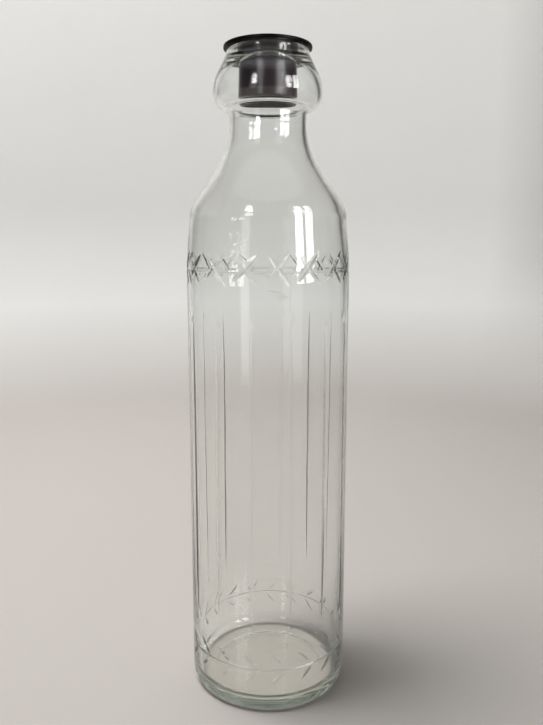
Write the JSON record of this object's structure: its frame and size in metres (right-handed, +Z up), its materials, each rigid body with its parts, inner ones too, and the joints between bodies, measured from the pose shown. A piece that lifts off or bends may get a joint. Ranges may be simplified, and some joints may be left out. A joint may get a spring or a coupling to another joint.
{
  "type": "glass oil bottle",
  "caption": "Slender clear glass oil bottle with wheel-cut decoration, a drip bulb round its mouth and a black plastic push-in stopper.",
  "frame": {"origin": "centre of the foot, on the plane that the bottle stands on", "axes": "+Z up along the bottle's axis, towards the mouth; +X and +Y are any two directions across it"},
  "size_m": [0.075, 0.075, 0.2979],
  "materials": {
    "clear_glass": "clear glass with a faint grey-green tint, fire-polished, with wheel cuts left slightly frosted",
    "black_plastic": "semi-gloss moulded black plastic with fine handling scuffs"
  },
  "bodies": {
    "bottle": {"bottle": "clear_glass"},
    "stopper": {"stopper": "black_plastic"}
  },
  "joints": [
    {"name": "stopper_lift", "type": "slide", "parent": "bottle", "child": "stopper", "axis": [0, 0, 1], "range_m": [0, 0.04]}
  ]
}
